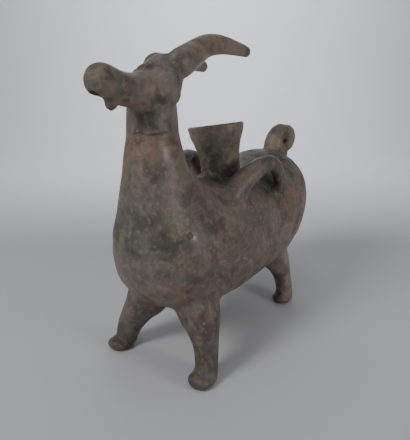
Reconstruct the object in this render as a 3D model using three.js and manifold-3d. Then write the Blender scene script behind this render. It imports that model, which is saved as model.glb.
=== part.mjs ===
// A rhyton of burnished clay in the shape of an ibex: a hollow vessel on four legs that is filled
// through the funnel on its back and poured through the mouth. Millimetres, +Z up. The animal
// faces -Y and its left side is +X. The origin is under the middle of the whole form, on the floor.
import * as THREE from "three";
import { ParametricGeometry } from "three/addons/geometries/ParametricGeometry.js";
import { mergeVertices } from "three/addons/utils/BufferGeometryUtils.js";
import Module from "manifold-3d";

const wasm = await Module();
wasm.setup();

// Driving dimensions of the vessel
const wall = 5.5; // clay between the outside and the hollow
const bodyLength = 229; // from the breast to the rump
const bodyHeight = 107; // from the belly to the top of the rump
const bodyWidth = 100; // at the haunches
const legLength = 35; // from the floor to the belly
const neckLength = 64; // from the shoulders to the middle of the head
const neckThickness = 30.5; // where it is slimmest, under the jaw

// Legs and feet
const frontStance = 78; // between the middles of the two front feet
const rearStance = 76;
const footSpacing = 140; // from the front feet to the rear feet
const ankleThickness = 16.5;
const thighThickness = 50; // where the leg spreads into the belly
const farLegLean = 0.15; // the right front leg leans in more, as a share of the stance
const footLength = 20;
const footWidth = 18;
const footHeight = 10;

// Head
const snoutLength = 48; // from the middle of the neck to the tip of the muzzle
const snoutThickness = 17;
const beardLength = 7;
const outletBore = 4.4; // the pouring hole
const eyeSpacing = 7;
const eyeLength = 7.6;
const eyeSlant = 0.5; // radians, down towards the muzzle
const earLength = 23;
const earWidth = 17;
const earTurn = 32; // degrees that its broad side faces forwards
const earOut = 14.8; // from the middle to its root
const farEarOut = 11.2;
const earThickness = 5.5;

// Horns
const hornLength = 86; // as far as they reach back from the brow
const hornRise = 17.2; // from the root to the highest point of their middle line
const hornRootSpacing = 18;
const hornTipSpacing = 31;
const hornRootThickness = 20;
const hornTipThickness = 8;
const farHornDroop = 10; // the right horn hangs this much lower at its tip

// Filling funnel
const funnelMouth = 44.6; // across the lip
const funnelThroat = 31.8;
const funnelHeight = 38.5; // above the back
const funnelWall = 3.6;
const funnelSides = 26;
const lipThickness = 3;
const funnelLean = 8.5; // degrees towards the right

// Loops beside the funnel, and the tail
const loopSpacing = 64;
const loopSpan = 74;
const loopHeight = 14; // of its middle line above the flank
const loopThickness = 16; // at its front half
const tailHeight = 26;
const tailThickness = 17.5;

// Where the main forms stand, worked out from the dimensions above
const breastAt = -footSpacing / 2 - 0.114 * bodyLength;
const neckAt = -footSpacing / 2 + 2;
const shoulderAt = legLength + 0.945 * bodyHeight;
const headAt = shoulderAt + neckLength;

// A smooth curve through [place, value] pairs.
function through(pairs) {
  const slope = pairs.map((pair, i) => {
    const before = pairs[Math.max(i - 1, 0)];
    const after = pairs[Math.min(i + 1, pairs.length - 1)];
    return (after[1] - before[1]) / (after[0] - before[0]);
  });
  return (x) => {
    let i = 0;
    while (i < pairs.length - 2 && x > pairs[i + 1][0]) i += 1;
    const [x0, y0] = pairs[i];
    const [x1, y1] = pairs[i + 1];
    const span = x1 - x0;
    const t = THREE.MathUtils.clamp((x - x0) / span, 0, 1);
    const keep = (1 + 2 * t) * (1 - t) * (1 - t);
    const rise = t * t * (3 - 2 * t);
    return keep * y0 + rise * y1
      + span * t * (1 - t) * ((1 - t) * slope[i] - t * slope[i + 1]);
  };
}

// A closed manifold-3d solid from a three.js geometry whose seams and poles meet.
function solid(geometry) {
  const bare = new THREE.BufferGeometry();
  bare.setAttribute("position", geometry.getAttribute("position"));
  bare.setIndex(geometry.index);
  const merged = mergeVertices(bare, 1e-4);
  const corners = merged.index.array;
  const faces = [];
  for (let i = 0; i < corners.length; i += 3) {
    const [a, b, c] = corners.subarray(i, i + 3);
    if (a !== b && b !== c && c !== a) faces.push(a, b, c);
  }
  const build = (triVerts) => new wasm.Manifold(new wasm.Mesh({
    numProp: 3,
    vertProperties: new Float32Array(merged.attributes.position.array),
    triVerts: new Uint32Array(triVerts),
  }));
  const made = build(faces);
  if (made.volume() > 0) return made;
  for (let i = 0; i < faces.length; i += 3) {
    [faces[i + 1], faces[i + 2]] = [faces[i + 2], faces[i + 1]];
  }
  return build(faces);
}

// Stations along a form, each with its place from 0 to 1 and its share of the full girth, with a
// round dome over the first and last stretch.
function stations(count, startDome, endDome, domeSteps = 3) {
  const list = [];
  for (let i = 0; i <= domeSteps; i += 1) {
    const turn = (i / domeSteps) * Math.PI / 2;
    list.push([startDome * (1 - Math.cos(turn)), Math.sin(turn)]);
  }
  for (let i = 1; i < count; i += 1) {
    list.push([startDome + (1 - startDome - endDome) * i / count, 1]);
  }
  for (let i = domeSteps; i >= 0; i -= 1) {
    const turn = (i / domeSteps) * Math.PI / 2;
    list.push([1 - endDome * (1 - Math.cos(turn)), Math.sin(turn)]);
  }
  return list;
}

// A round-ended form along a path: girth(t) gives its half width across X and its half thickness.
function limb(path, girth, steps) {
  const { sides = 12, count = 8, startDome = 0.06, endDome = 0.06, domeSteps = 3 } = steps;
  const across = new THREE.Vector3(1, 0, 0);
  const rings = stations(count, startDome, endDome, domeSteps).map(([t, share]) => {
    const middle = path.getPoint(t);
    const ahead = path.getTangent(t);
    const up = new THREE.Vector3().crossVectors(ahead, across).normalize();
    const side = new THREE.Vector3().crossVectors(up, ahead).normalize();
    const [halfWidth, halfDepth] = girth(t);
    side.multiplyScalar(halfWidth * share);
    up.multiplyScalar(halfDepth * share);
    return { middle, side, up };
  });
  const point = (u, v, target) => {
    const ring = rings[Math.round(v * (rings.length - 1))];
    const turn = (u % 1) * 2 * Math.PI;
    target.copy(ring.middle)
      .addScaledVector(ring.side, Math.cos(turn))
      .addScaledVector(ring.up, Math.sin(turn));
  };
  return solid(new ParametricGeometry(point, sides, rings.length - 1));
}

const smooth = (points) => new THREE.CatmullRomCurve3(points.map((p) => new THREE.Vector3(...p)));

// Places in the side view, as [along Y, up Z] pairs that follow the body, the neck or the head
const onBody = (along, up) => new THREE.Vector2(breastAt + along * bodyLength, legLength + up * bodyHeight);
const onNeck = (back, up) => new THREE.Vector2(neckAt + back * neckThickness, shoulderAt + up * neckLength);
const onHead = (ahead, up) => new THREE.Vector2(neckAt - ahead * snoutLength, headAt + up * snoutThickness);

// A sine or cosine pushed outwards, so that a ring is fuller than an ellipse.
const fuller = (share, fullness) => Math.sign(share) * Math.abs(share) ** (1 / fullness);

// A form known by its side view: each station gives an upper and a lower edge point and how wide
// the ring between them is, as a share of its depth.
class SideForm {
  constructor(stations, fullness = 1) {
    this.fullness = fullness;
    this.count = stations.length - 1;
    this.upper = new THREE.SplineCurve(stations.map(([upper]) => upper));
    this.lower = new THREE.SplineCurve(stations.map(([, lower]) => lower));
    this.roundness = through(stations.map(([, , round], i) => [i / this.count, round]));
  }

  // The ring at a place from 0 to 1, moved inwards by the inset and scaled by a share.
  ring(place, inset, share) {
    const top = this.upper.getPoint(place);
    const bottom = this.lower.getPoint(place);
    const halfWidth = Math.max(this.roundness(place) * top.distanceTo(bottom) / 2 - inset, 0);
    const along = this.upper.getTangent(place);
    const under = this.lower.getTangent(place);
    top.add(new THREE.Vector2(along.y, -along.x).multiplyScalar(inset));
    bottom.add(new THREE.Vector2(-under.y, under.x).multiplyScalar(inset));
    const middle = top.clone().add(bottom).divideScalar(2);
    return { middle, reach: top.sub(middle).multiplyScalar(share), halfWidth: halfWidth * share };
  }

  // The solid through rings at [place, share] pairs.
  solid(places, sides, inset = 0) {
    const rings = places.map(([place, share]) => this.ring(place, inset, share));
    const point = (u, v, target) => {
      const { middle, reach, halfWidth } = rings[Math.round(v * (rings.length - 1))];
      const turn = (u % 1) * 2 * Math.PI;
      const rise = fuller(Math.sin(turn), this.fullness);
      const out = fuller(Math.cos(turn), this.fullness);
      target.set(halfWidth * out, middle.x + reach.x * rise, middle.y + reach.y * rise);
    };
    return solid(new ParametricGeometry(point, sides, rings.length - 1));
  }
}

// How wide a ring of the barrel is, as a share of its depth.
const broad = (share) => share * bodyWidth / bodyHeight;

// The neck, breast, barrel and rump in one sweep: nape and back above, throat and belly below.
const torso = new SideForm([
  [onNeck(0, 1.06), onNeck(0, 1.06), 1],
  [onNeck(0.42, 1.02), onNeck(-0.42, 0.97), 0.95],
  [onNeck(0.48, 0.77), onNeck(-0.51, 0.73), 1],
  [onNeck(0.5, 0.52), onNeck(-0.54, 0.48), 1],
  [onNeck(0.6, 0.33), onNeck(-0.61, 0.27), 1],
  [onNeck(0.82, 0.13), onNeck(-0.69, 0.02), 0.91],
  [onBody(0.268, 0.96), onBody(0.018, 0.76), broad(0.915)],
  [onBody(0.316, 0.91), onBody(0.003, 0.53), broad(0.87)],
  [onBody(0.386, 0.89), onBody(0.033, 0.28), broad(0.845)],
  [onBody(0.461, 0.885), onBody(0.119, 0.12), broad(0.88)],
  [onBody(0.542, 0.89), onBody(0.256, 0.04), broad(0.92)],
  [onBody(0.634, 0.89), onBody(0.414, 0.01), broad(0.955)],
  [onBody(0.727, 0.94), onBody(0.566, 0), broad(0.965)],
  [onBody(0.82, 0.993), onBody(0.71, 0.02), broad(0.97)],
  [onBody(0.898, 0.945), onBody(0.83, 0.105), broad(1.01)],
  [onBody(0.952, 0.825), onBody(0.92, 0.265), broad(1.1)],
  [onBody(0.988, 0.7), onBody(0.97, 0.43), broad(1.18)],
  [onBody(1, 0.57), onBody(1, 0.57), broad(1.25)],
], 1.14);
const torsoRings = [];
for (let i = 0; i <= 28; i += 1) torsoRings.push([i / 28, 1]);
torsoRings.splice(28, 0, [0.985, 1]);

// The skull and snout, from the nape over the crown to the knob of the muzzle.
const skull = new SideForm([
  [onHead(-0.44, 0.06), onHead(-0.44, 0.06), 1],
  [onHead(-0.39, 0.66), onHead(-0.35, -0.76), 0.85],
  [onHead(-0.3, 0.97), onHead(-0.22, -1), 0.84],
  [onHead(-0.18, 0.93), onHead(-0.05, -1), 0.86],
  [onHead(-0.04, 0.74), onHead(0.14, -0.94), 0.9],
  [onHead(0.1, 0.5), onHead(0.32, -0.88), 0.94],
  [onHead(0.25, 0.31), onHead(0.46, -0.85), 0.94],
  [onHead(0.42, 0.26), onHead(0.58, -0.76), 0.94],
  [onHead(0.6, 0.33), onHead(0.72, -0.62), 0.97],
  [onHead(0.72, 0.44), onHead(0.8, -0.53), 1.01],
  [onHead(0.83, 0.5), onHead(0.88, -0.48), 1.08],
  [onHead(0.94, 0.4), onHead(0.96, -0.41), 1.12],
  [onHead(1.01, 0), onHead(1.01, 0), 1.12],
]);
const skullRings = [];
for (let i = 0; i <= 18; i += 1) skullRings.push([i / 18, 1]);
skullRings.splice(18, 0, [0.975, 1]);

function beard() {
  const root = onHead(0.7, -0.5);
  const path = smooth([
    [0, root.x + 2, root.y + 3],
    [0, root.x, root.y - 0.35 * beardLength],
    [0, root.x - 1, root.y - beardLength],
  ]);
  const girth = (t) => [4.2 - 1.6 * t, 4.8 - 2 * t];
  return limb(path, girth, { sides: 10, count: 3, startDome: 0.1, endDome: 0.25 });
}

// An almond-shaped lid round each eye, and the hollow of the eye itself.
function almond(side, size, out, place) {
  const geometry = new THREE.SphereGeometry(size / 2, 12, 8);
  geometry.scale(0.62, 1, 0.6);
  geometry.rotateX(eyeSlant);
  geometry.translate(side * (eyeSpacing / 2 + out), place.x, place.y);
  return solid(geometry);
}
const eyelid = (side) => almond(side, 1.05 * eyeLength, 0, onHead(0.07, 0.46));
const eyeHollow = (side) => almond(side, 0.8 * eyeLength, 1, onHead(0.05, 0.64));

// A broad, drooping leaf that is turned so that its hollow side looks forwards.
function ear(side) {
  const root = onHead(-0.02, 0.42);
  const path = smooth([
    [0, 0, 0],
    [side * 1.6, -1.5, -0.34 * earLength],
    [side * 2.2, -3.2, -0.66 * earLength],
    [side * 1.4, -3, -0.94 * earLength],
  ]);
  const width = through([[0, 0.5], [0.3, 0.8], [0.65, 1], [0.86, 0.86], [1, 0.5]]);
  const girth = (t) => [earThickness / 2, width(t) * earWidth / 2];
  const leaf = limb(path, girth, { count: 6, startDome: 0.1, endDome: 0.1 });
  const out = side < 0 ? -farEarOut : earOut;
  return leaf.rotate([0, 0, -side * earTurn]).translate([out, root.x, root.y]);
}

function horn(side) {
  const droop = side < 0 ? farHornDroop : 0;
  const reach = side < 0 ? 0.85 * hornLength : hornLength;
  const root = onHead(-0.2, 0.42);
  const spread = through([[0, hornRootSpacing / 2], [0.3, 0.62 * hornRootSpacing], [1, hornTipSpacing / 2]]);
  const rise = [[0, 0], [0.11, 0.26], [0.22, 0.53], [0.37, 0.87], [0.55, 1], [0.76, 0.96],
    [1, 0.85]];
  const path = smooth(rise.map(([t, up]) => [
    side * spread(t), root.x + t * reach, root.y + up * hornRise - droop * Math.min(1, 3 * t),
  ]));
  const tip = hornTipThickness / hornRootThickness;
  const taper = through([[0, 0.74], [0.11, 0.92], [0.22, 0.92], [0.4, 0.8], [0.55, 0.69], [0.8, 0.57],
    [1, tip]]);
  const girth = (t) => [0.42 * taper(t) * hornRootThickness, 0.5 * taper(t) * hornRootThickness];
  return limb(path, girth, { count: 13, endDome: 0.025 });
}

// One leg, from inside the belly down to the ankle. It spreads inwards and towards the middle of
// the body as it rises: each row is a height, a share of the stance, a way in and a girth.
function leg(side, front) {
  const stance = (front ? frontStance : rearStance) / 2;
  const ankleAt = (front ? -1 : 1) * footSpacing / 2 + 0.2 * footLength;
  const inwards = front ? 1 : -0.4;
  const slim = ankleThickness / thighThickness;
  const isFar = front && side < 0;
  const right = isFar ? 1.12 : 1;
  const heavy = (front ? 1 : 0.94) * right;
  const rows = [
    [2, 0.42, 15, 0.5],
    [1.6, 0.52, 13, 0.66],
    [1.28, 0.68, 10, 0.62 * heavy],
    [0.98, 0.84, 6.5, 0.46 * heavy],
    [0.7, 0.93, 4, 0.37 * heavy],
    [0.45, 0.98, 1.8, slim * right],
    [0.12, 1, 0, slim],
  ];
  const path = smooth(rows.map(([up, out, way]) => {
    const lean = isFar ? farLegLean * Math.min(up, 1) : 0;
    return [side * stance * (out - lean), ankleAt + inwards * way, up * legLength];
  }));
  const girth = through(rows.map(([, , , share], i) => [i / (rows.length - 1), share * thighThickness / 2]));
  const steps = { sides: 14, count: 9, startDome: 0.1, endDome: 0.02, domeSteps: 1 };
  return limb(path, (t) => [girth(t), girth(t)], steps);
}

function foot(side, front) {
  const stance = (front ? frontStance : rearStance) / 2;
  const y = (front ? -1 : 1) * footSpacing / 2;
  const path = smooth([
    [side * stance, y + 0.5 * footLength, footHeight * 0.42],
    [side * stance, y + 0.1 * footLength, footHeight * 0.42],
    [side * stance, y - 0.3 * footLength, footHeight * 0.46],
    [side * stance, y - 0.52 * footLength, footHeight * 0.66],
  ]);
  const wide = through([[0, 0.86], [0.4, 1], [0.7, 0.92], [1, 0.62]]);
  const girth = (t) => [wide(t) * footWidth / 2, footHeight * (0.56 - 0.12 * t)];
  return limb(path, girth, { count: 3, startDome: 0.2, endDome: 0.2, domeSteps: 2 });
}

// Height of the back at a place along the body.
function backAt(y) {
  let place = 0.3;
  while (place < 1 && torso.upper.getPoint(place).x < y) place += 0.004;
  return torso.upper.getPoint(place).y;
}

// A lathe-turned form about the funnel's own leaning axis.
const funnelAt = 0.093 * footSpacing;
const funnelAside = 1.4; // at its foot, to the left
function turned(profile) {
  const geometry = new THREE.LatheGeometry(profile.map(([r, z]) => new THREE.Vector2(r, z)), funnelSides);
  geometry.rotateX(Math.PI / 2);
  geometry.rotateY(THREE.MathUtils.degToRad(-funnelLean));
  geometry.translate(funnelAside, funnelAt, backAt(funnelAt));
  return solid(geometry);
}

const funnelRoot = -0.45; // the funnel starts this share of its height below the back
const funnelFlare = through([[funnelRoot, 1.35], [-0.2, 1.06], [0.1, 0.98], [0.35, 1], [0.7, 1.2],
  [0.9, 0.985 * funnelMouth / funnelThroat], [1, funnelMouth / funnelThroat]]);

function funnelOutside() {
  const profile = [[0, funnelRoot * funnelHeight]];
  const steps = 9;
  for (let i = 0; i <= steps; i += 1) {
    const share = funnelRoot + (1 - funnelRoot) * i / steps;
    profile.push([funnelFlare(share) * funnelThroat / 2, share * funnelHeight]);
  }
  const top = funnelHeight + 0.35 * lipThickness;
  profile.push([funnelMouth / 2 - 0.3 * lipThickness, top], [0, top]);
  return turned(profile);
}

function funnelBore() {
  const deep = -(wall + 0.3 * funnelHeight);
  const profile = [[0, deep], [0.9 * (funnelThroat / 2 - funnelWall), deep]];
  const steps = 6;
  for (let i = 1; i <= steps; i += 1) {
    const share = i / steps;
    const thickness = funnelWall * (1 - share) + lipThickness * share;
    profile.push([funnelFlare(share) * funnelThroat / 2 - thickness, share * funnelHeight]);
  }
  const top = funnelHeight + lipThickness;
  profile.push([funnelMouth / 2 - 0.8 * lipThickness, top], [0, top]);
  return turned(profile);
}

// A thick roll of clay that grows out of the shoulder, arches beside the funnel and comes down on
// the flank as a thin strap, open below its rear half. Each row is a share of the spacing, of the
// span and of the height.
function loop(side) {
  const middle = 0.036 * footSpacing;
  const flank = backAt(middle) - 0.055 * bodyHeight;
  const rows = [
    [0.6, -0.53, -1.2], [0.7, -0.36, -0.6], [0.86, -0.2, 0.02], [1, -0.04, 0.7], [1.12, 0.11, 1.12],
    [1.2, 0.26, 1.2], [1.25, 0.39, 0.86], [1.27, 0.49, 0.05], [1.22, 0.52, -1.2],
  ];
  const path = smooth(rows.map(([out, along, up]) => [
    side * out * loopSpacing / 2, middle + along * loopSpan, flank + up * loopHeight,
  ]));
  const rear = side < 0 ? 1.05 : 0.62; // the right loop is stouter at its rear end
  const thick = through([[0, 1.1], [0.2, 1.18], [0.32, 1.1], [0.43, 0.94], [0.54, 0.82], [0.66, 0.72],
    [0.8, rear], [1, rear]]);
  const girth = (t) => [thick(t) * loopThickness / 2, thick(t) * loopThickness / 2];
  return limb(path, girth, { count: 12, startDome: 0.05, endDome: 0.05, domeSteps: 1 });
}

// The tail stands up from the rump and curls over to the left until its tip is back on the rump. The
// curl is filled but for a shallow slot.
function tail() {
  const root = onBody(0.91, 0.94);
  const rise = [-0.2, 0.32, 0.72, 0.88, 0.7, 0.36, 0.02];
  const way = [-1.1, 0.8, 4.8, 12, 17, 15.5, 10];
  const out = [1, 1, 2.5, 6, 9, 9.5, 7];
  const path = smooth(rise.map((up, i) => [out[i], root.x + way[i], root.y + up * tailHeight]));
  const thick = through([[0, 1.2], [0.25, 1], [0.6, 0.92], [1, 0.8]]);
  const flat = through([[0, 0.85], [0.28, 0.78], [0.5, 0.62], [1, 0.6]]);
  const girth = (t) => [thick(t) * tailThickness / 2, flat(t) * thick(t) * tailThickness / 2];
  const filling = new THREE.SphereGeometry(tailThickness / 2, 8, 6);
  filling.scale(0.78, 1.05, 1.2);
  filling.translate(0.3 * tailThickness, root.x + 10.4, root.y - 0.06 * tailHeight);
  const roll = limb(path, girth, { sides: 10, count: 9, startDome: 0.08, endDome: 0.08, domeSteps: 1 });
  return roll.add(solid(filling));
}

// The narrow channel from the hollow of the neck to the mouth.
function channel() {
  const lip = onHead(1, -0.44);
  const path = smooth([
    [0, neckAt, shoulderAt + 0.6 * neckLength],
    [0, neckAt - 0.1 * snoutLength, headAt - 0.6 * snoutThickness],
    [0, neckAt - 0.6 * snoutLength, headAt - 0.2 * snoutThickness],
    [0, lip.x, lip.y],
  ]);
  const steps = { sides: 10, count: 8, startDome: 0.02, endDome: 0.02, domeSteps: 1 };
  return limb(path, () => [outletBore / 2, outletBore / 2], steps);
}

const sidesOf = [-1, 1];
const outside = [
  torso.solid(torsoRings, 32), skull.solid(skullRings, 18), beard(), funnelOutside(), tail(),
  ...sidesOf.flatMap((side) => [eyelid(side), ear(side), horn(side), loop(side)]),
  ...sidesOf.flatMap((side) => [true, false].flatMap((front) => [leg(side, front), foot(side, front)])),
].reduce((sum, form) => sum.add(form));

const hollowRings = [[0.1, 0], [0.115, 0.7]];
for (let i = 0; i <= 15; i += 1) hollowRings.push([0.14 + 0.83 * i / 15, 1]);
hollowRings.push([1, 0]);
const hollow = [torso.solid(hollowRings, 20, wall), funnelBore(), channel(), ...sidesOf.map(eyeHollow)]
  .reduce((sum, form) => sum.add(form));

// The feet are rubbed flat where they meet the floor.
const floorBox = new THREE.BoxGeometry(2 * bodyLength, 2 * bodyLength, legLength);
floorBox.translate(0, 0, -legLength / 2);

const made = outside.subtract(hollow).subtract(solid(floorBox)).getMesh();
const geometry = new THREE.BufferGeometry();
geometry.setAttribute("position", new THREE.BufferAttribute(new Float32Array(made.vertProperties), 3));
geometry.setIndex(new THREE.BufferAttribute(new Uint32Array(made.triVerts), 1));
geometry.computeBoundingBox();
const middle = geometry.boundingBox.getCenter(new THREE.Vector3());
geometry.translate(-middle.x, -middle.y, 0);
geometry.computeVertexNormals();

const burnishedClay = new THREE.MeshStandardMaterial({ color: 0x6f6058, roughness: 0.55, metalness: 0 });
const vessel = new THREE.Mesh(geometry, burnishedClay);
vessel.name = "ibex_vessel";

const rhyton = new THREE.Group();
rhyton.add(vessel);

export default rhyton;
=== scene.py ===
import math

import bpy
import numpy as np
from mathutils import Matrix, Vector, noise
from mathutils.bvhtree import BVHTree


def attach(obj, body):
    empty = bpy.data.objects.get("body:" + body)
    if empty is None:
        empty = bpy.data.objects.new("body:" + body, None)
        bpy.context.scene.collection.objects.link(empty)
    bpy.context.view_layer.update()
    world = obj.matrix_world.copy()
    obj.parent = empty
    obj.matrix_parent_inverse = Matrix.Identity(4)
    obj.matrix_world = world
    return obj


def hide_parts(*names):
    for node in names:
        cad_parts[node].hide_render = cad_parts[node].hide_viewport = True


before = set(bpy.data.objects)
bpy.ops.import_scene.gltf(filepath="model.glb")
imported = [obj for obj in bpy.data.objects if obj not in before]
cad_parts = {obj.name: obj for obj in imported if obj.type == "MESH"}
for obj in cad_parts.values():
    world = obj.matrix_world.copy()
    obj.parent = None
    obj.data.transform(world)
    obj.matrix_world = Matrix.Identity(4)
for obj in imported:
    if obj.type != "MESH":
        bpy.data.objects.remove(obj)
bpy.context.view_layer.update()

mm = 0.001  # places below are in millimetres, and Blender's are in metres

# The photograph was taken from the animal's front left, a little above its back.
view = {
    "place": (170.97, -274.51, 195.2),
    "turn": 33.6,  # degrees round the vertical
    "down": 17.8,
    "lens": 33.2,
    "sensor": 36,
    "near": 10,  # nothing nearer than this is drawn
}


def addCamera():
    turned = (math.radians(90 - view["down"]), 0, math.radians(view["turn"]))
    place = [value * mm for value in view["place"]]
    bpy.ops.object.camera_add(location=place, rotation=turned)
    camera = bpy.context.object
    camera.name = "camera"
    camera.data.lens = view["lens"]
    camera.data.sensor_width = view["sensor"]
    camera.data.clip_start = view["near"] * mm
    bpy.context.scene.camera = camera


def workOn(piece, mode="OBJECT"):
    if bpy.context.object and bpy.context.object.mode != "OBJECT":
        bpy.ops.object.mode_set(mode="OBJECT")
    bpy.ops.object.select_all(action="DESELECT")
    piece.select_set(True)
    bpy.context.view_layer.objects.active = piece
    if mode != "OBJECT":
        bpy.ops.object.mode_set(mode=mode)


vessel = {
    "weld": 0.005,  # points closer than this become one
    "grain": 1.31,  # size of the even skin's faces
    "evenSteps": (0.5, -0.527),  # in and out again, so that the volume stays
    "evenRounds": 50,
    "lastRounds": 12,
    "lastShare": 0.8,
    "evenLess": {"head": 0.65, "details": 0.2, "lip": 0.75},
    "creaseStep": 0.5,
    "normalsEvery": 5,  # rounds of filling between two readings of the normals
    "filletRounds": 40,
    "filletMore": {"loopFoot": 3, "tailCurl": 5},  # how many times the rounds these get besides
    "filletLess": {"head": 0.6, "ear": 0.9},
    "toeShare": 0.35,  # how far the creases of the toes are filled
    "handWaves": {  # unevenness left by the hands: size, then height and start of the pattern
        34: (0.9, (3.1, 7.7, 1.3)),
        13: (0.32, (11.9, 2.3, 5.1)),
    },
    "lipWaves": 0.4,  # how much of it the lip gets
    "innerShare": 0.06,  # how many faces of the unseen inside are kept
    "innerTop": 10,  # the inside counts as unseen below this height in the funnel
    "lookFrom": 0.3,  # height over a face from which it looks out
    "freeWays": 2,  # a face of the inside looks out along no more ways than this
    "soleTop": 0.8,  # the flat soles stay as they are
    "wavesFrom": 1.5,
    "toes": (12, 20),  # from, to
    "head": (182, 192),
    "earSide": (11.5, 14),
    "earFoot": (181, 185),
    "earTop": (211, 215),
    "earBack": -62,
    "eye": ((4.4, -82.6, 209.2), 7),  # middle and reach, here and in the next three lines
    "mouth": ((-2, -122, 193.8), 5),
    "loopFoot": ((34, -20, 124), 24),  # the front end of each loop runs on into the flank
    "tailCurl": ((8, 113, 148), 15),  # nearly closed, but for a slot
    "reachFrom": 0.55,  # share of the reach at which a place starts to fade
    "curlFilling": ((8, 111.5, 151.5), 3.6),
    "funnelFoot": (1.4, 4.4, 129.8),
    "funnelLean": 8.5,
    "funnelHeight": 38.5,
    "lipDepths": (8, 3),  # below the funnel's mouth
    "lipRadii": (8, 30),
}


# A mesh's vertices as numbers, with what their neighbours say.
class Skin:
    def __init__(self, piece):
        self.mesh = piece.data
        count = len(self.mesh.vertices)
        self.place = np.empty(count * 3, np.float32)
        self.mesh.vertices.foreach_get("co", self.place)
        self.place = self.place.reshape(-1, 3).astype(float) / mm
        ends = np.empty(len(self.mesh.edges) * 2, np.int32)
        self.mesh.edges.foreach_get("vertices", ends)
        self.first, self.second = ends[0::2], ends[1::2]
        self.joined = np.bincount(ends, minlength=count).astype(float)

    def around(self, values):
        rows = np.empty_like(values)
        for axis in range(values.shape[1]):
            column = values[:, axis]
            total = np.bincount(self.first, column[self.second], len(column))
            total += np.bincount(self.second, column[self.first], len(column))
            rows[:, axis] = total / self.joined
        return rows

    def write(self):
        self.mesh.vertices.foreach_set("co", (self.place * mm).astype(np.float32).ravel())
        self.mesh.update()

    def normals(self):
        self.write()
        out = np.empty(len(self.place) * 3, np.float32)
        self.mesh.vertex_normals.foreach_get("vector", out)
        return out.reshape(-1, 3).astype(float)

    def even(self, weight, rounds):  # takes facets away and keeps the volume
        for _ in range(rounds):
            for step in vessel["evenSteps"]:
                self.place += step * weight[:, None] * (self.around(self.place) - self.place)

    def fillCreases(self, weight, rounds):  # moves only the bottoms of creases, outwards
        for i in range(rounds):
            if i % vessel["normalsEvery"] == 0:
                normal = self.normals()
            rise = ((self.around(self.place) - self.place) * normal).sum(1)
            self.place += (vessel["creaseStep"] * weight * np.maximum(rise, 0))[:, None] * normal


def smoothStep(low, high, values):
    t = np.clip((values - low) / (high - low), 0, 1)
    return t * t * (3 - 2 * t)


# 1 near a named place or its mirror image, 0 further off than its reach.
def nearTo(place, name):
    middle, reach = vessel[name]
    folded = place.copy()
    folded[:, 0] = np.abs(folded[:, 0])
    away = np.linalg.norm(folded - np.array((abs(middle[0]), *middle[1:])), axis=1)
    return 1 - smoothStep(vessel["reachFrom"] * reach, reach, away)


def funnelPlace(place):  # height along the funnel's own axis, and distance from it
    lean = math.radians(vessel["funnelLean"])
    axis = np.array([-math.sin(lean), 0, math.cos(lean)])
    away = place - np.array(vessel["funnelFoot"])
    height = away @ axis
    return height, np.linalg.norm(away - height[:, None] * axis, axis=1)


# The inside of the hollow: from there nearly every way leads to a wall.
def insideFaces(source):
    tree = BVHTree.FromObject(source, bpy.context.evaluated_depsgraph_get())
    steps = (-1, 0, 1)
    corners = [(x, y, z) for x in steps for y in steps for z in steps]
    ways = [Vector(corner).normalized() for corner in corners if any(corner)]
    flags = []
    for face in source.data.polygons:
        start = face.center + face.normal * vessel["lookFrom"] * mm
        free = sum(tree.ray_cast(start, way)[0] is None for way in ways)
        flags.append(free <= vessel["freeWays"])
    return tree, np.array(flags)


def copyNode():
    workOn(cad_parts["ibex_vessel"])
    bpy.ops.object.duplicate()
    piece = bpy.context.object
    for key in list(piece.keys()):
        del piece[key]
    piece.parent = None
    piece.name = "vessel"
    piece.data.name = "vessel"
    piece.data.materials.clear()
    workOn(piece, "EDIT")
    bpy.ops.mesh.select_all(action="SELECT")
    bpy.ops.mesh.remove_doubles(threshold=vessel["weld"] * mm)
    workOn(piece)
    return piece


def fillCurl(piece):  # a lump in the tail's curl leaves only a slot
    middle, radius = vessel["curlFilling"]
    workOn(piece, "EDIT")
    bpy.ops.mesh.primitive_uv_sphere_add(segments=24, ring_count=12, radius=radius * mm,
                                         location=[value * mm for value in middle])
    workOn(piece)


# Lumps and roll joints run together, on a skin of small even faces.
def remeshPiece(piece):
    skinning = piece.modifiers.new("even skin", "REMESH")
    skinning.mode = "VOXEL"
    skinning.voxel_size = vessel["grain"] * mm
    bpy.ops.object.modifier_apply(modifier=skinning.name)
    skin = Skin(piece)
    print("even skin", len(skin.place), "vertices")
    return skin


def smoothSkin(skin, isInner, lip):
    x, y, z = skin.place.T  # these follow every later change of the skin's places
    head = smoothStep(*vessel["head"], z)
    ear = smoothStep(*vessel["earSide"], np.abs(x)) * smoothStep(*vessel["earFoot"], z)
    ear *= (1 - smoothStep(*vessel["earTop"], z)) * (y < vessel["earBack"])
    small = np.maximum(nearTo(skin.place, "eye"), nearTo(skin.place, "mouth"))
    sole = z < vessel["soleTop"]

    less = vessel["evenLess"]
    weight = 1 - (less["head"] * head + less["details"] * np.maximum(small, ear)) - less["lip"] * lip
    weight[sole] = 0
    weight = np.clip(weight, 0, 1)
    skin.even(weight, vessel["evenRounds"])

    less, rounds = vessel["filletLess"], vessel["filletRounds"]
    fillet = np.where(isInner, 0, 1.0) * (1 - lip) * (1 - less["head"] * head)
    fillet *= vessel["toeShare"] + (1 - vessel["toeShare"]) * smoothStep(*vessel["toes"], z)
    fillet *= (1 - less["ear"] * ear) * (1 - small)
    fillet[sole] = 0
    skin.fillCreases(fillet, rounds)
    for name, times in vessel["filletMore"].items():
        skin.fillCreases(fillet * nearTo(skin.place, name), times * rounds)
    skin.even(weight * vessel["lastShare"], vessel["lastRounds"])
    print("facets are evened and creases filled")


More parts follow.
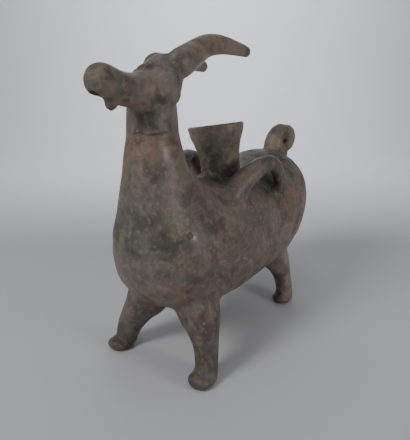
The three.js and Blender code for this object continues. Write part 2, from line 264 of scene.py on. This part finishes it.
def addHandWaves(skin, lip):
    normal = skin.normals()
    share = 1 - (1 - vessel["lipWaves"]) * lip
    for size, (rise, start) in vessel["handWaves"].items():
        wave = np.array([noise.noise(Vector(point / size) + Vector(start)) for point in skin.place])
        still = skin.place[:, 2] <= vessel["wavesFrom"]
        wave[still] = 0
        skin.place += (rise * wave * share)[:, None] * normal
    skin.write()


def thinInside(piece, skin, deep):
    piece.data.vertices.foreach_set("select", deep)
    piece.data.edges.foreach_set("select", deep[skin.first] & deep[skin.second])
    workOn(piece, "EDIT")
    bpy.ops.mesh.select_mode(type="VERT")
    bpy.ops.mesh.decimate(ratio=vessel["innerShare"])
    workOn(piece)


def buildVessel():
    piece = copyNode()
    tree, inner = insideFaces(piece)
    print("inside faces", inner.sum(), "of", len(inner))
    fillCurl(piece)
    skin = remeshPiece(piece)

    isInner = np.array([inner[tree.find_nearest(Vector(point * mm))[2]] for point in skin.place])
    height, away = funnelPlace(skin.place)
    mouth = vessel["funnelHeight"]
    low, high = vessel["lipDepths"]
    bore, rim = vessel["lipRadii"]
    lip = smoothStep(mouth - low, mouth - high, height) * (away < rim) * (away > bore)

    smoothSkin(skin, isInner, lip)
    addHandWaves(skin, lip)
    thinInside(piece, skin, isInner & (height < vessel["innerTop"]))
    bpy.ops.object.shade_smooth()
    piece.data.calc_loop_triangles()
    print("vessel has", len(piece.data.loop_triangles), "triangles")
    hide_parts("ibex_vessel")
    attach(piece, "root")
    return piece


# One socket of a shader graph, so that values are written as plain expressions.
class Wire:
    def __init__(self, tree, socket):
        self.tree, self.socket = tree, socket

    def math(self, operation, *others):
        values = {i: value for i, value in enumerate((self,) + others)}
        return addNode(self.tree, "Math", {"operation": operation}, values)

    def __add__(self, other): return self.math("ADD", other)
    def __radd__(self, other): return self.math("ADD", other)
    def __mul__(self, other): return self.math("MULTIPLY", other)
    def __rmul__(self, other): return self.math("MULTIPLY", other)
    def __sub__(self, other): return self.math("SUBTRACT", other)
    def __rsub__(self, other): return (self * -1) + other

    def between(self, low, high):  # 0 under low, 1 over high, smooth in between
        settings = {"interpolation_type": "SMOOTHSTEP"}
        return addNode(self.tree, "MapRange", settings, {0: self, 1: low, 2: high, 3: 0.0, 4: 1.0})

    def toward(self, colour, share):
        settings = {"data_type": "RGBA"}
        return addNode(self.tree, "Mix", settings, {0: share, 6: self, 7: (*colour, 1)}, 2)


# Any node: its settings are set first, then its sockets get values or links.
def addNode(tree, kind, settings, values, out=0):
    made = tree.nodes.new("ShaderNode" + kind)
    for name, value in settings.items():
        setattr(made, name, value)
    for key, value in values.items():
        if isinstance(value, Wire):
            tree.links.new(value.socket, made.inputs[key])
        else:
            made.inputs[key].default_value = value
    return Wire(tree, made.outputs[out]) if len(made.outputs) else None


clay = {
    "brown": (0.158, 0.124, 0.104),
    "red": (0.222, 0.136, 0.102),
    "purple": (0.185, 0.128, 0.124),
    "plum": (0.150, 0.099, 0.091),
    "rose": (0.33, 0.245, 0.215),
    "pink": (0.245, 0.176, 0.160),
    "tan": (0.255, 0.190, 0.146),
    "olive": (0.148, 0.150, 0.108),
    "moss": (0.185, 0.180, 0.112),
    "sage": (0.205, 0.205, 0.168),
    "ash": (0.124, 0.126, 0.110),
    # Soot, and also the colour of painted shade.
    "sootAndPaintedShade": (0.050, 0.045, 0.038),
    "pale": (0.50, 0.46, 0.40),
}

# Patterns in the clay: size in mm, detail, roughness, distortion, start, and stretch where it has one.
patterns = {
    "ragged": (8, 4, 0.6, 0.3, 301),
    "broad": (46, 3, 0.5, 0.6, 11),
    "redder": (30, 4, 0.6, 0.9, 57),
    "greener": (22, 4, 0.6, 0.6, 131),
    "smoke": (19, 3, 0.55, 0.5, 211),
    "blots": (7.5, 4, 0.6, 0.4, 401),
    "ashes": (13, 3, 0.5, 0.4, 911),
    "growth": (6.5, 3, 0.5, 0.3, 733),
    "sand": (3.6, 3, 0.5, 0, 811),
    "fine": (3.1, 5, 0.65, 0.2, 19),
    "speck": (2.0, 2, 0.5, 0, 83),
    "strokes": (5, 3, 0.6, 0.3, 501, (1, 1, 0.22)),
    "dents": (9, 4, 0.5, 0, 7),
    "dust": (1.1, 3, 0.6, 0, 41),
    "pitted": (15, 2, 0.5, 0, 907),
    "crackSwing": (16, 3, 0.5, 0, 601),
    "crackTeeth": (3.5, 3, 0.6, 0, 613),
    "crackBreaks": (9, 3, 0.6, 0, 17),
}

# The clay's body goes from one colour to another: both colours, pattern, from and to.
ground = ("brown", "purple", "broad", 0.36, 0.64)
# What lies under the stains and over them, in order: colour, pattern, from, to and strength.
firing = (
    ("red", "redder", 0.45, 0.62, 0.75),
    ("olive", "greener", 0.48, 0.64, 0.85),
)
mottling = (
    ("pink", "blots", 0.48, 0.66, 0.6),
    ("ash", "ashes", 0.46, 0.64, 0.7),
    ("moss", "growth", 0.50, 0.66, 0.55),
    ("sootAndPaintedShade", "smoke", 0.47, 0.66, 0.62),
    ("sootAndPaintedShade", "strokes", 0.52, 0.72, 0.2),
    ("sootAndPaintedShade", "fine", 0.50, 0.68, 0.42),
    ("tan", "sand", 0.52, 0.68, 0.5),
    ("pale", "speck", 0.70, 0.76, 0.45),
)

# Places where the firing or the soil has left its colour, and places of painted shade and painted
# highlights: colour, middle, reach and strength.
stainsAndPaintedLight = {
    "neckBelowCrack": ("red", (11, -92, 156), 25, 0.7),
    "muzzleTop": ("purple", (2, -123.5, 203.5), 9, 0.75),
    "muzzleFront": ("sage", (1.7, -124.5, 197), 5, 0.8),
    "muzzleDark": ("sootAndPaintedShade", (1, -121, 201), 13, 0.36),
    # Painted shadow under the muzzle's rim.
    "muzzleSideShade": ("sootAndPaintedShade", (6, -122, 196), 5, 0.6),
    # Painted shade in the mouth's hole.
    "mouth": ("sootAndPaintedShade", (-2, -122, 193.8), 2.6, 0.8),
    "snoutUnder": ("moss", (6, -116, 194), 8, 0.5),
    "snoutTop": ("olive", (2, -104, 204), 12, 0.5),
    "cheek": ("tan", (10, -92, 198), 13, 0.6),
    "cheekLow": ("tan", (11, -88, 191), 7, 0.5),
    "crown": ("purple", (3, -73.5, 214), 13, 0.5),
    "ear": ("purple", (16, -81, 199), 11, 0.55),
    # Painted shadow under the ear.
    "underEarShade": ("sootAndPaintedShade", (13, -87, 187), 4.5, 0.5),
    # Painted shade in the eye's hollow.
    "nearEyeShade": ("sootAndPaintedShade", (4.2, -82.4, 209), 3.9, 1.0),
    "ringedEye": ("sootAndPaintedShade", (4.7, -91, 204), 2.6, 0.5),
    "eyeCorner": ("pale", (2.2, -87.5, 205.7), 2, 0.5),
    "throatNick": ("sootAndPaintedShade", (5.5, -105, 190), 2.4, 0.8),
    "horn": ("tan", (17, -34, 219), 40, 0.75),
    "hornRed": ("red", (18, -50, 217), 12, 0.5),
    "hornTip": ("moss", (19, 9, 222), 9, 0.4),
    "breast": ("ash", (12, -100, 108), 38, 0.9),
    "breastLeft": ("ash", (-10, -98, 112), 22, 0.5),
    "flank": ("plum", (42, -62, 94), 38, 0.95),
    "flankLow": ("plum", (44, -20, 88), 36, 0.85),
    # Painted highlight on the right of the neck, in a rose tone.
    "paintedNeckHighlight": ("rose", (19.5, -82, 149), 7, 0.55),
    "neckUnderEar": ("sage", (14, -84, 178), 13, 0.6),
    "neckLow": ("purple", (12, -92, 138), 20, 0.5),
    "flankSmoke": ("sootAndPaintedShade", (44, -45, 84), 46, 0.2),
    "flankSpot": ("sage", (37, -38, 114), 11, 0.5),
    "shoulder": ("sootAndPaintedShade", (15, -34, 131), 20, 0.4),
    "rump": ("red", (49, 46, 96), 30, 0.7),
    "rumpLow": ("olive", (46, 40, 66), 18, 0.6),
    "back": ("olive", (1, 60, 139), 40, 0.85),
    "backDark": ("sootAndPaintedShade", (2, 54, 138), 38, 0.8),
    "underLoop": ("moss", (34, 2, 121), 12, 0.55),
    # Painted shade in the hole under the near loop and on the back seen through it.
    "loopHoleShade": ("sootAndPaintedShade", (26, 28, 125), 24, 0.9),
    "loop": ("purple", (35, -12, 138), 14, 0.5),
    # Painted shade: the far loop darkened as if shaded by the neck.
    "farLoopShade": ("sootAndPaintedShade", (-27, 0, 132), 22, 0.8),
    "funnel": ("olive", (-2, -14, 150), 26, 0.75),
    "funnelSmoke": ("sootAndPaintedShade", (4, -14, 148), 15, 0.3),
    # Painted shade in the valley where the funnel's foot meets the back.
    "funnelFoot": ("sootAndPaintedShade", (6, -14, 133), 14, 0.6),
    "funnelLip": ("red", (15, -4, 164), 8, 0.35),
    "funnelBack": ("moss", (15, 6, 147), 9, 0.55),
    "tailTop": ("rose", (9, 107, 157), 18, 1.0),
    "tailStem": ("tan", (2, 100, 148), 13, 0.9),
    # Painted shade in the slot of the tail's curl.
    "tailSlotShade": ("sootAndPaintedShade", (8, 114, 147.5), 4, 0.8),
    "nearLeg": ("sootAndPaintedShade", (40, -77, 26), 24, 0.55),
    "nearThigh": ("plum", (41, -76, 50), 24, 0.9),
    "nearFront": ("sootAndPaintedShade", (42, -86, 30), 34, 0.22),
    # The rear leg's own tone, lightened as painted light where the belly's shadow falls.
    "rearLegPaintedLight": ("rose", (43, 60, 28), 34, 1.0),
    "nearToe": ("moss", (44, -86, 9), 5, 0.5),
    "nearInstep": ("sage", (40, -81.5, 12), 4.5, 0.5),
    "nearFoot": ("sootAndPaintedShade", (40, -84, 2), 13, 0.55),
    "farFoot": ("sootAndPaintedShade", (-39, -84, 4), 14, 0.4),
    # Painted highlight: a small pale spot for the glint beside the ring-shaped pit.
    "paintedGlint": ("pale", (32.6, -78.2, 106.3), 1.5, 0.75),
    "chipOne": ("pale", (43.4, 30.4, 115.2), 0.9, 0.9),
    "chipTwo": ("pale", (47.6, 27.8, 79.3), 0.9, 0.9),
    "chipThree": ("pale", (46.7, -37.4, 81.4), 1.1, 0.7),
}

# Painted shade in hollows and along edges: middle, reach and strength.
paintedShade = {
    "nearEyeShade": ((3.4, -82.2, 209.1), 3.9, 1.0),
    "mouth": ((-1.9, -121.7, 193.8), 2.4, 0.85),
    "loopHoleShade": ((28.6, 32.1, 123.1), 11, 0.85),
    "behindLoopHole": ((29.8, 41.4, 123.3), 12, 0.85),
    "tailSlotShade": ((8, 114.8, 145.9), 2.2, 0.7),
    "hornRoot": ((13.2, -68.4, 206.4), 2.4, 0.4),
    "earEdgeTop": ((18.9, -75, 203.3), 3.2, 0.42),
    "earEdgeHigh": ((19.2, -76, 200), 3.2, 0.42),
    "earEdge": ((18.9, -77.6, 196.7), 3.2, 0.42),
    "earEdgeLow": ((18.3, -79.3, 193.3), 3.2, 0.42),
    "earTip": ((17, -81.5, 190.6), 3.2, 0.42),
    "underEarShade": ((14.8, -84, 188.9), 3, 0.5),
    "earFrontLow": ((13.1, -85.8, 191.7), 2.6, 0.4),
    "earFront": ((12.3, -86, 195), 2.4, 0.4),
}

# Places rubbed smoother, or rougher under 0: middle, reach and change of the roughness.
rubbed = {
    "neck": ((16.3, -85, 158), 8, 0.1),
    "besideRingPit": ((32.4, -78.6, 106.8), 4, 0.2),
    "ear": ((13, -76, 205), 5, 0.1),
    "muzzle": ((0, -121, 200), 14, -0.2),
    "behindLoopHole": ((28, 34, 123), 18, -0.4),
}

# Edges of such places, in shares of the reach: how ragged, where it starts to fade and where it ends.
edges = {"patch": (1.1, 0.45, 1.15), "paintedShade": (0.5, 0.4, 1.05), "rubbed": (1, 0.3, 1)}

# The neck was once broken or joined here. The clay is greyer above the crack and redder just below.
neckCrack = {
    "height": 170.2,
    "middle": (9, -90.5, 170.2),
    "swing": 6,
    "teeth": 3,
    "width": (0.15, 0.9),
    "length": (9, 17),
    "breaks": (0.36, 0.52),
    "neckFrom": (120, 140),
    "neckBack": (-66, -56),
    "greyStart": (-3, 4),
    "greyRagged": 14,
    "greyEnd": (176, 192),
    "grey": 0.55,
    "redDepth": 1.6,
    "redWidth": (0.4, 2.2),
    "red": 0.5,
    "dark": 0.6,
    "depth": 0.45,
}
pits = {"apart": 6.5, "size": (0.04, 0.11), "where": (0.50, 0.58), "dark": 0.6, "depth": 0.55}
ringPit = {"middle": (30.6, -81.3, 108.1), "radius": 1.9, "ragged": 0.6, "width": (0.15, 0.75),
           "dark": 0.6, "depth": 0.5}
# Darker towards the bottom: the heights over which it fades, and how dark.
darkerLow = {"heights": (8, 80), "dark": 0.26}
finish = {
    "roughness": 0.31,
    "rougher": {"smoke": 0.12, "fine": 0.16},
    "strokeShine": 0.06,
    "relief": {"dents": 0.55, "fine": 0.20, "strokes": 0.25, "dust": 0.05},
    "reliefStrength": 0.55,
    "reliefHeight": 1.0,
    "shine": 0.36,
}


def clayMaterial():
    material = bpy.data.materials.new("burnishedClay")
    material.use_nodes = True
    tree = material.node_tree
    tree.nodes.clear()
    here = addNode(tree, "TexCoord", {}, {}, 3)
    place = addNode(tree, "VectorMath", {"operation": "SCALE"}, {0: here, "Scale": 1 / mm})
    height = addNode(tree, "SeparateXYZ", {}, {0: place}, 2)
    along = addNode(tree, "SeparateXYZ", {}, {0: place}, 1)

    def grain(size, detail, roughness, distortion, start, stretch=(1, 1, 1)):
        scaled = addNode(tree, "VectorMath", {"operation": "MULTIPLY"}, {0: place, 1: stretch})
        offset = (start, start * 0.7, -start)
        moved = addNode(tree, "VectorMath", {"operation": "ADD"}, {0: scaled, 1: offset})
        values = {"Vector": moved, "Scale": 1 / size, "Detail": detail, "Roughness": roughness,
                  "Distortion": distortion}
        return addNode(tree, "TexNoise", {}, values)

    pattern = {name: grain(*values) for name, values in patterns.items()}
    ragged = pattern["ragged"] - 0.5

    def distanceTo(middle):
        return addNode(tree, "VectorMath", {"operation": "DISTANCE"}, {0: place, 1: middle}, 1)

    def spot(middle, reach, edge):  # 1 in the middle, 0 outside
        unevenness, start, end = edges[edge]
        away = distanceTo(middle) + ragged * (unevenness * reach)
        return 1 - away.between(start * reach, end * reach)

    def swing(name, size):
        return (pattern[name] - 0.5) * size

    body, second, kind, low, high = ground
    colour = addNode(tree, "Mix", {"data_type": "RGBA"}, {0: pattern[kind].between(low, high),
                     6: (*clay[body], 1), 7: (*clay[second], 1)}, 2)
    for name, kind, low, high, strength in firing:
        colour = colour.toward(clay[name], pattern[kind].between(low, high) * strength)
    # Stains, with painted shade and painted highlights among them.
    for name, middle, reach, strength in stainsAndPaintedLight.values():
        colour = colour.toward(clay[name], spot(middle, reach, "patch") * strength)

    # The crack's line, then the grey above it.
    line = neckCrack
    crackAt = height - line["height"] - swing("crackSwing", line["swing"])
    crackAt = crackAt - swing("crackTeeth", line["teeth"])
    onNeck = height.between(*line["neckFrom"]) * (1 - along.between(*line["neckBack"]))
    above = (crackAt + ragged * line["greyRagged"]).between(*line["greyStart"])
    above = above * (1 - height.between(*line["greyEnd"])) * onNeck
    colour = colour.toward(clay["ash"], above * line["grey"])
    crack = 1 - crackAt.math("ABSOLUTE").between(*line["width"])
    crack = crack * (1 - distanceTo(line["middle"]).between(*line["length"]))
    crack = crack * pattern["crackBreaks"].between(*line["breaks"])

    for name, kind, low, high, strength in mottling:
        colour = colour.toward(clay[name], pattern[kind].between(low, high) * strength)
    # Darker towards the bottom.
    colour = colour.toward(clay["sootAndPaintedShade"], (1 - height.between(*darkerLow["heights"])) * darkerLow["dark"])
    redLine = 1 - (crackAt + line["redDepth"]).math("ABSOLUTE").between(*line["redWidth"])
    colour = colour.toward(clay["red"], redLine * onNeck * line["red"])
    colour = colour.toward(clay["sootAndPaintedShade"], crack * line["dark"])
    # Painted shade in the hollows and along the edges.
    for middle, reach, strength in paintedShade.values():
        colour = colour.toward(clay["sootAndPaintedShade"], spot(middle, reach, "paintedShade") * strength)

    # Small pits, thinly strewn, and one ring-shaped pit on the flank.
    cells = addNode(tree, "TexVoronoi", {}, {"Vector": place, "Scale": 1 / pits["apart"], "Randomness": 1.0})
    pitted = (1 - cells.between(*pits["size"])) * pattern["pitted"].between(*pits["where"])
    ring = distanceTo(ringPit["middle"]) - ringPit["radius"] + ragged * ringPit["ragged"]
    ringed = 1 - ring.math("ABSOLUTE").between(*ringPit["width"])
    colour = colour.toward(clay["sootAndPaintedShade"], pitted * pits["dark"])
    colour = colour.toward(clay["sootAndPaintedShade"], ringed * ringPit["dark"])

    rough = finish["roughness"] + sum(pattern[name] * share for name, share in finish["rougher"].items())
    rough = rough + (1 - pattern["strokes"]) * finish["strokeShine"]
    for middle, reach, change in rubbed.values():
        rough = rough - spot(middle, reach, "rubbed") * change
    relief = sum(pattern[name] * share for name, share in finish["relief"].items())
    relief = relief - pitted * pits["depth"] - crack * line["depth"] - ringed * ringPit["depth"]
    bump = addNode(tree, "Bump", {}, {"Strength": finish["reliefStrength"],
                   "Distance": finish["reliefHeight"] * mm, "Height": relief})
    shader = addNode(tree, "BsdfPrincipled", {}, {"Base Color": colour, "Roughness": rough,
                     "Normal": bump, "Specular IOR Level": finish["shine"]})
    addNode(tree, "OutputMaterial", {}, {"Surface": shader})
    return material


room = {
    "colour": (0.60, 0.61, 0.635),
    "rough": 0.9,
    "reach": 2600,
    "cuts": 40,
    "back": 900,  # where the backdrop starts to rise
    "bend": 500,
}


def roomMaterial():
    material = bpy.data.materials.new("paperBackdrop")
    material.use_nodes = True
    shader = material.node_tree.nodes["Principled BSDF"]
    shader.inputs["Base Color"].default_value = (*room["colour"], 1)
    shader.inputs["Roughness"].default_value = room["rough"]
    return material


# The floor and the backdrop are one sheet of paper, bent up behind the vessel.
def addRoom():
    bpy.ops.mesh.primitive_plane_add(size=2 * room["reach"] * mm, location=(0, 0, 0))
    floor = bpy.context.object
    floor.name = "floor"
    workOn(floor, "EDIT")
    bpy.ops.mesh.subdivide(number_cuts=room["cuts"])
    workOn(floor)
    turn = math.radians(view["turn"])
    away = Vector((-math.sin(turn), math.cos(turn), 0))
    across = Vector((math.cos(turn), math.sin(turn), 0))
    for point in floor.data.vertices:
        far, side = point.co.y / mm, point.co.x / mm
        beyond = max(far - room["back"], 0)
        bent = min(beyond / room["bend"], math.pi / 2)
        rise = room["bend"] * (1 - math.cos(bent)) + max(beyond - room["bend"] * math.pi / 2, 0)
        flat = min(far, room["back"]) + room["bend"] * math.sin(bent)
        point.co = (away * flat + across * side) * mm + Vector((0, 0, rise * mm))
    bpy.ops.object.shade_smooth()
    floor.data.materials.append(roomMaterial())


# The light comes from a large window to the left of the camera, and the backdrop has its own.
lights = {
    "key": {"place": (-330, -1100, 800), "aim": (0, 0, 100), "size": 440, "power": 7.9,
            "colour": (1.0, 0.985, 0.96)},
    "fill": {"place": (900, -10, 270), "aim": (0, -30, 110), "size": 260, "power": 2.4,
             "colour": (1.0, 0.96, 0.91)},
    "sky": {"place": (0, 60, 1200), "aim": (0, 0, 0), "size": 900, "power": 1.7,
            "colour": (0.95, 0.975, 1.0)},
    "wash": {"place": (-250, 420, 900), "aim": (-900, 1350, 500), "size": 500, "power": 16.0,
             "colour": (1.0, 0.99, 1.0)},
}
air = {"colour": (0.82, 0.83, 0.86), "strength": 0.22}


def addLights():
    for name, kind in lights.items():
        place = Vector(kind["place"]) * mm
        toward = Vector(kind["aim"]) * mm - place
        turned = toward.to_track_quat("-Z", "Y").to_euler()
        bpy.ops.object.light_add(type="AREA", location=place, rotation=turned)
        lamp = bpy.context.object
        lamp.name = name
        lamp.data.shape = "DISK"
        lamp.data.size = kind["size"] * mm
        lamp.data.energy = kind["power"]
        lamp.data.color = kind["colour"]
    world = bpy.data.worlds.new("room")
    bpy.context.scene.world = world
    world.use_nodes = True
    background = world.node_tree.nodes["Background"]
    background.inputs["Color"].default_value = (*air["colour"], 1)
    background.inputs["Strength"].default_value = air["strength"]


addCamera()
print("camera is set")
addRoom()
addLights()
print("room and lights are set")
pot = buildVessel()
pot.data.materials.append(clayMaterial())
print("clay is on")

bpy.ops.object.select_all(action="DESELECT")
bpy.context.view_layer.update()
